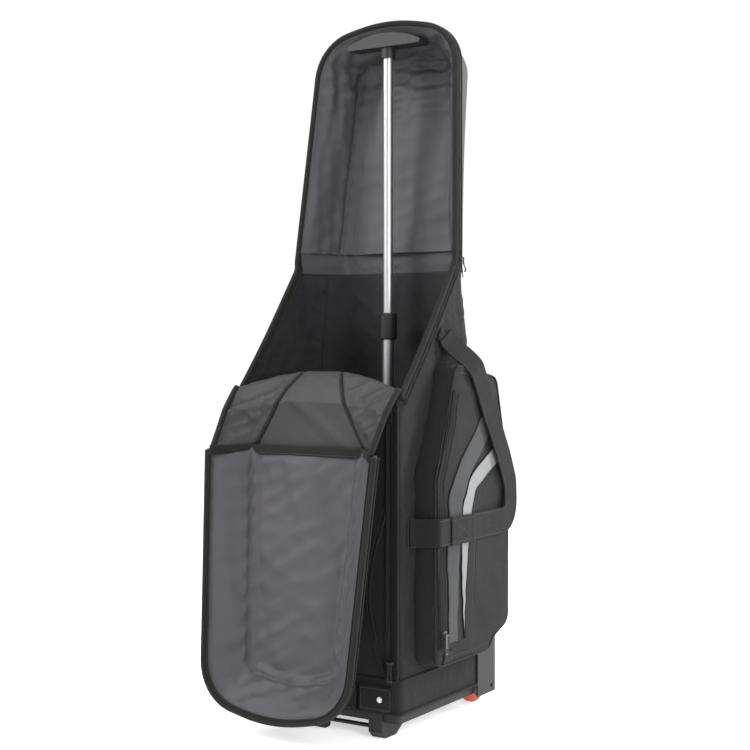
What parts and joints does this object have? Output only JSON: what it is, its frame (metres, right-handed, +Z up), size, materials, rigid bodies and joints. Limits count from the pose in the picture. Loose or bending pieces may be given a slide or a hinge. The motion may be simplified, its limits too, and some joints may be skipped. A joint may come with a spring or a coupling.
{
  "type": "golf travel case",
  "caption": "Upright wheeled golf travel case with a hard leaning hood, a fold-down hard lid, side pockets, carrying loops and a telescoping support pole.",
  "frame": {"origin": "on the floor, midway across the case, between the front feet and the wheels", "axes": "+X across the case towards the side seen on the right from the front, +Y towards the back, +Z up"},
  "size_m": [0.4572, 0.4947, 1.2851],
  "materials": {
    "black_fabric": "matte woven polyester",
    "coated_fabric": "dull coated cloth",
    "grey_fabric": "woven grey panel",
    "reflective_tape": "satin reflective tape",
    "satin_lining": "sheen lining over thin padding",
    "webbing": "ribbed webbing",
    "zip_black": "zip tape and coil",
    "hard_shell": "satin moulded shell",
    "base_plastic": "grained moulding",
    "rod_black": "black enamel",
    "pole_aluminium": "satin anodised",
    "bright_metal": "nickel plate",
    "wheel_red": "polyurethane",
    "hub_black": "moulded hub",
    "steel": "zinc plated"
  },
  "bodies": {
    "case": {"base_tray": "base_plastic", "base_skirt": "black_fabric", "front_panel": "black_fabric", "back_panel": "black_fabric", "neck_band": "black_fabric", "side_panel_right": "black_fabric", "side_panel_left": "black_fabric", "hood_shell": "hard_shell", "hood_lining": "satin_lining", "rim_binding": "webbing", "body_fold": "coated_fabric", "main_zips": "zip_black", "pocket_right": "black_fabric", "pocket_left": "black_fabric", "pocket_zips": "zip_black", "pocket_panel_right": "grey_fabric", "pocket_panel_left": "grey_fabric", "pocket_stripe_right": "reflective_tape", "pocket_stripe_left": "reflective_tape", "strap_patches": "webbing", "grab_plates": "black_fabric", "rivets": "bright_metal", "neck_tabs": "webbing", "wheel_housing_right": "base_plastic", "wheel_housing_left": "base_plastic", "axles": "steel", "skid_foot_right": "base_plastic", "skid_foot_left": "base_plastic", "cross_rod": "rod_black", "centre_foot": "base_plastic", "pole_socket": "base_plastic", "pole_lower": "pole_aluminium"},
    "lid": {"lid_shell": "hard_shell", "lid_lining": "satin_lining", "lid_binding": "webbing", "lid_fold": "coated_fabric"},
    "pole": {"pole_upper": "pole_aluminium", "pole_head": "base_plastic"},
    "pole_sleeve": {"pole_lock": "base_plastic"},
    "grab": {"grab_handle": "webbing"},
    "wheel_right": {"tyre_right": "wheel_red", "hub_right": "hub_black"},
    "loop_right": {"side_strap_right": "webbing"},
    "ring_right": {"neck_ring_right": "bright_metal"},
    "main_slide_right": {"main_slider_right": "zip_black"},
    "main_pull_right": {"main_puller_right": "zip_black"},
    "lower_slide_right": {"lower_slider_right": "zip_black"},
    "lower_pull_right": {"lower_puller_right": "zip_black"},
    "pocket_slide_right": {"pocket_slider_right": "zip_black"},
    "pocket_pull_right": {"pocket_puller_right": "zip_black"},
    "wheel_left": {"tyre_left": "wheel_red", "hub_left": "hub_black"},
    "loop_left": {"side_strap_left": "webbing"},
    "ring_left": {"neck_ring_left": "bright_metal"},
    "main_slide_left": {"main_slider_left": "zip_black"},
    "main_pull_left": {"main_puller_left": "zip_black"},
    "lower_slide_left": {"lower_slider_left": "zip_black"},
    "lower_pull_left": {"lower_puller_left": "zip_black"},
    "pocket_slide_left": {"pocket_slider_left": "zip_black"},
    "pocket_pull_left": {"pocket_puller_left": "zip_black"}
  },
  "joints": [
    {"name": "lid_hinge", "type": "hinge", "parent": "case", "child": "lid", "pos_m": [0, -0.135, 0.66], "axis": [-1, 0, 0], "range_deg": [0, 180]},
    {"name": "pole_slide", "type": "slide", "parent": "case", "child": "pole", "axis": [0, 0, 1], "range_m": [-0.25, 0]},
    {"name": "pole_lock_turn", "type": "hinge", "parent": "case", "child": "pole_sleeve", "pos_m": [0, 0.056, 0.709], "axis": [0, 0, 1], "range_deg": [0, 120]},
    {"name": "grab_lift", "type": "hinge", "parent": "case", "child": "grab", "pos_m": [0, -0.193, 0.068], "axis": [-1, 0, 0], "range_deg": [0, 12]},
    {"name": "wheel_spin_right", "type": "hinge", "parent": "case", "child": "wheel_right", "pos_m": [0.137, 0.136, 0.036], "axis": [1, 0, 0], "continuous": true},
    {"name": "loop_swing_right", "type": "hinge", "parent": "case", "child": "loop_right", "pos_m": [0.1806, -0.164, 0.352], "axis": [0, -0.3444, -0.9388], "range_deg": [0, 100]},
    {"name": "ring_swing_right", "type": "hinge", "parent": "case", "child": "ring_right", "pos_m": [0.15108, 0.07826, 0.812], "axis": [0.4352, -0.9003, 0], "range_deg": [0, 90]},
    {"name": "main_zip_right", "type": "slide", "parent": "case", "child": "main_slide_right", "axis": [0, 0, 1], "range_m": [-0.2, 0]},
    {"name": "main_pull_swing_right", "type": "hinge", "parent": "main_slide_right", "child": "main_pull_right", "pos_m": [0.16, -0.1953, 0.57596], "axis": [-1, 0, 0], "range_deg": [0, 150]},
    {"name": "lower_zip_right", "type": "slide", "parent": "case", "child": "lower_slide_right", "axis": [0, 0, 1], "range_m": [0, 0.2]},
    {"name": "lower_pull_swing_right", "type": "hinge", "parent": "lower_slide_right", "child": "lower_pull_right", "pos_m": [0.16, -0.1953, 0.13596], "axis": [-1, 0, 0], "range_deg": [0, 150]},
    {"name": "pocket_zip_right", "type": "slide", "parent": "case", "child": "pocket_slide_right", "axis": [0, 0, 1], "range_m": [0, 0.13]},
    {"name": "pocket_pull_swing_right", "type": "hinge", "parent": "pocket_slide_right", "child": "pocket_pull_right", "pos_m": [0.2263, -0.117, 0.17596], "axis": [0, -1, 0], "range_deg": [0, 150]},
    {"name": "wheel_spin_left", "type": "hinge", "parent": "case", "child": "wheel_left", "pos_m": [-0.137, 0.136, 0.036], "axis": [1, 0, 0], "continuous": true},
    {"name": "loop_swing_left", "type": "hinge", "parent": "case", "child": "loop_left", "pos_m": [-0.1806, -0.164, 0.352], "axis": [0, 0.3444, 0.9388], "range_deg": [0, 100]},
    {"name": "ring_swing_left", "type": "hinge", "parent": "case", "child": "ring_left", "pos_m": [-0.15108, 0.07826, 0.812], "axis": [0.4352, 0.9003, 0], "range_deg": [0, 90]},
    {"name": "main_zip_left", "type": "slide", "parent": "case", "child": "main_slide_left", "axis": [0, 0, 1], "range_m": [-0.2, 0]},
    {"name": "main_pull_swing_left", "type": "hinge", "parent": "main_slide_left", "child": "main_pull_left", "pos_m": [-0.16, -0.1953, 0.57596], "axis": [-1, 0, 0], "range_deg": [0, 150]},
    {"name": "lower_zip_left", "type": "slide", "parent": "case", "child": "lower_slide_left", "axis": [0, 0, 1], "range_m": [0, 0.2]},
    {"name": "lower_pull_swing_left", "type": "hinge", "parent": "lower_slide_left", "child": "lower_pull_left", "pos_m": [-0.16, -0.1953, 0.13596], "axis": [-1, 0, 0], "range_deg": [0, 150]},
    {"name": "pocket_zip_left", "type": "slide", "parent": "case", "child": "pocket_slide_left", "axis": [0, 0, 1], "range_m": [0, 0.13]},
    {"name": "pocket_pull_swing_left", "type": "hinge", "parent": "pocket_slide_left", "child": "pocket_pull_left", "pos_m": [-0.2263, -0.117, 0.17596], "axis": [0, 1, 0], "range_deg": [0, 150]}
  ]
}
